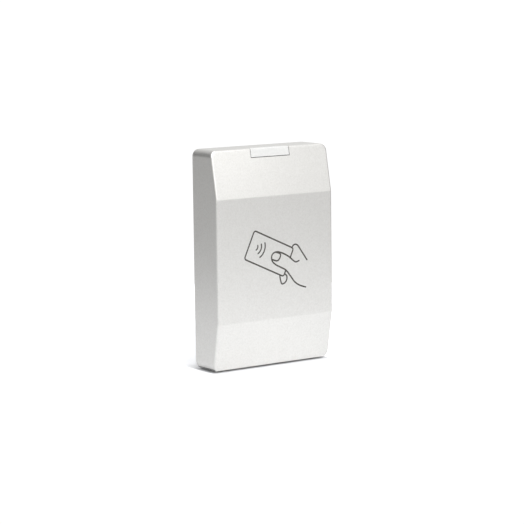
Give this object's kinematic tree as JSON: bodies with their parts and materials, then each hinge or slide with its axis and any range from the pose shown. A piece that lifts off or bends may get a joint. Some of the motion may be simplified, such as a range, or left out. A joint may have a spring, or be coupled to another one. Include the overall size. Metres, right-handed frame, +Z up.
{
  "type": "rfid card reader",
  "caption": "Slim upright wall-mounted proximity card reader: sloped front shell with a status light, hooked on a screw-down wall plate and locked from below.",
  "frame": {"origin": "centre of the footprint, at the height of the housing's bottom edge", "axes": "+X to the right seen from the front, +Y from the front towards the wall, +Z up"},
  "size_m": [0.0764, 0.0234, 0.12],
  "materials": {
    "silver_paint": "satin metallic silver paint on moulded ABS",
    "frosted_lens": "frosted white polycarbonate",
    "clear_acrylic": "clear moulded acrylic",
    "grey_abs": "fine-textured grey ABS",
    "gasket_rubber": "soft silicone sheet",
    "steel_screw": "plain stainless steel",
    "board_laminate": "glass-epoxy laminate under green mask",
    "copper_winding": "enamelled copper wire",
    "led_white": "white LED housing",
    "black_moulding": "black moulded plastic",
    "chip_epoxy": "moulded epoxy",
    "tinned_lead": "tin-plated metal",
    "capacitor_can": "drawn aluminium can",
    "ferrite": "moulded ferrite",
    "chip_resistor": "thick-film resistor with tinned ends",
    "chip_ceramic": "ceramic capacitor with tinned ends",
    "connector_nylon": "natural nylon",
    "plunger_nylon": "acetal",
    "spring_steel": "spring wire",
    "charcoal_abs": "spark-textured charcoal ABS",
    "insert_brass": "knurled brass"
  },
  "bodies": {
    "wall_bracket": {"mounting_plate": "charcoal_abs", "lock_insert": "insert_brass"},
    "lock_screw": {"lock_screw": "steel_screw"},
    "tamper_plunger": {"tamper_plunger": "plunger_nylon"},
    "reader": {"front_housing": "silver_paint", "status_lens": "frosted_lens", "light_guide": "clear_acrylic", "rear_cover": "grey_abs", "cover_gasket": "gasket_rubber", "cover_screws": "steel_screw", "circuit_board": "board_laminate", "board_screws": "steel_screw", "antenna_coil": "copper_winding", "coil_leads": "copper_winding", "status_leds": "led_white", "buzzer": "black_moulding", "reader_chip": "chip_epoxy", "microcontroller": "chip_epoxy", "chip_leads": "tinned_lead", "crystal": "tinned_lead", "voltage_regulator": "chip_epoxy", "bulk_capacitors": "capacitor_can", "power_inductor": "ferrite", "surge_suppressors": "chip_epoxy", "chip_resistors": "chip_resistor", "chip_capacitors": "chip_ceramic", "wire_connector": "connector_nylon", "connector_pins": "tinned_lead", "tamper_switch_body": "black_moulding", "tamper_spring": "spring_steel"}
  },
  "joints": [
    {"name": "reader_swing", "type": "hinge", "parent": "wall_bracket", "child": "reader", "pos_m": [0, 0.0094, 0.1179], "axis": [-1, 0, 0], "range_deg": [0, 15]},
    {"name": "lock_screw_turn", "type": "hinge", "parent": "wall_bracket", "child": "lock_screw", "pos_m": [0, 0.008, 0], "axis": [0, 0, 1], "continuous": true},
    {"name": "tamper_plunger_slide", "type": "slide", "parent": "reader", "child": "tamper_plunger", "axis": [0, 1, 0], "range_m": [0, 0.0021], "deforming": ["tamper_spring"]}
  ],
  "couplings": [
    {"joint": "tamper_plunger_slide", "follows": "reader_swing", "m_per_rad": 0.0080206}
  ]
}
